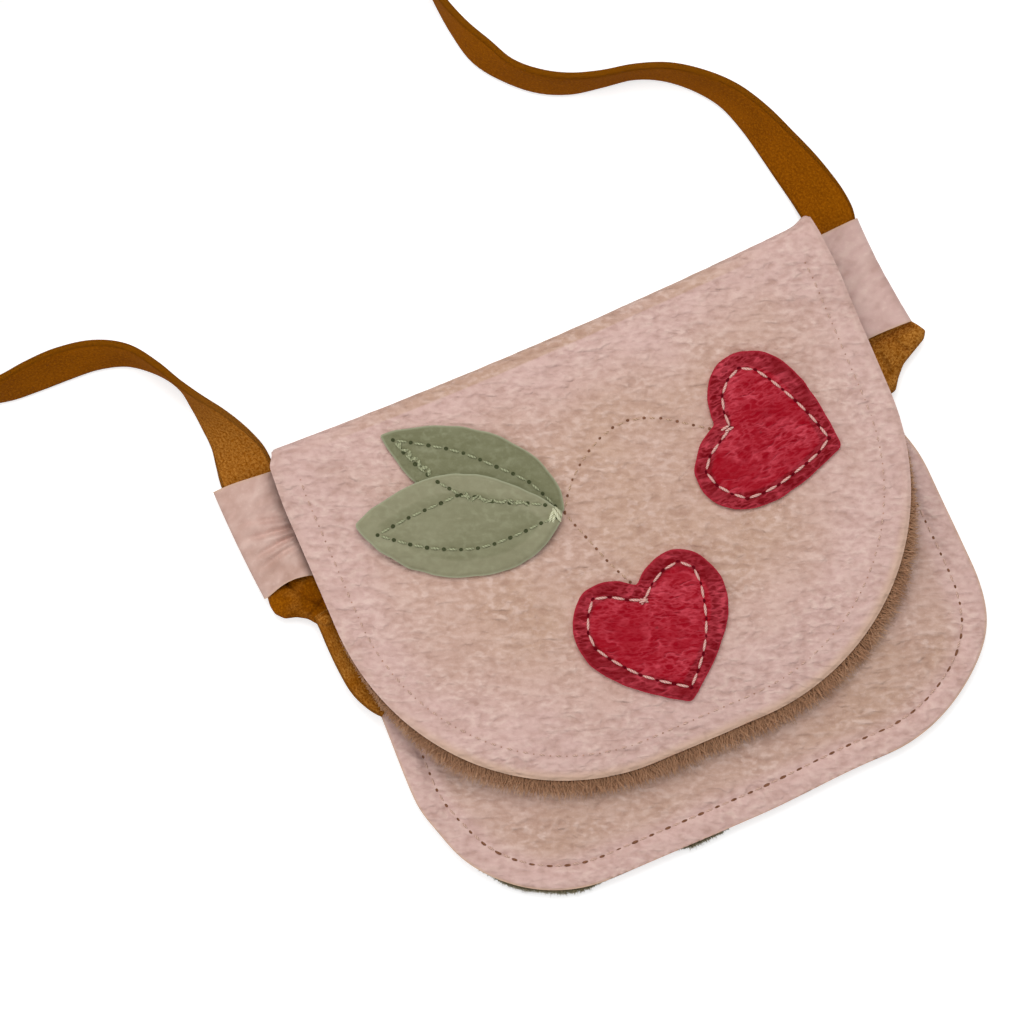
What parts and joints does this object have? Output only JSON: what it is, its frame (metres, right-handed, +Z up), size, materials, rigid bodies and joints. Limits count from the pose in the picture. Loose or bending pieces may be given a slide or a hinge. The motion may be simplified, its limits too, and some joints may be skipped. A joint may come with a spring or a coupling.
{
  "type": "leather purse",
  "caption": "Small leather crossbody purse with a rounded fold-over flap, a domed front pocket, side loops, a flat suede strap and sewn leather applique.",
  "frame": {"origin": "on the surface that the purse lies on, under the middle of the box round the body, flap, loops and strap ends", "axes": "+Z up out of the purse's front, +Y towards the fold at the top of the purse, +X along the fold to the right"},
  "size_m": [0.2104, 0.2879, 0.0183],
  "materials": {
    "pink_leather": "grained, blush pink",
    "pile_lining": "short brown pile",
    "suede": "mustard suede",
    "red_leather": "grained, red",
    "green_leather": "smooth, sage green",
    "snap_metal": "bright plated"
  },
  "bodies": {
    "pouch": {"back_panel": "pink_leather", "back_lining": "pile_lining", "front_panel": "pink_leather", "front_lining": "pile_lining", "loop_left": "pink_leather", "loop_right": "pink_leather", "strap_end_left": "suede", "strap_end_right": "suede", "strap_left_run": "suede", "strap_right_run": "suede", "strap_hank": "suede", "hank_tie": "suede", "snap_socket": "snap_metal"},
    "lid": {"flap": "pink_leather", "flap_lining": "pile_lining", "leaf_upper": "green_leather", "leaf_lower": "green_leather", "heart_upper": "red_leather", "heart_lower": "red_leather", "snap_cap": "snap_metal"}
  },
  "joints": [
    {"name": "flap_hinge", "type": "hinge", "parent": "pouch", "child": "lid", "pos_m": [0, 0.0575, 0.012], "axis": [-1, 0, 0], "range_deg": [0, 160]}
  ]
}
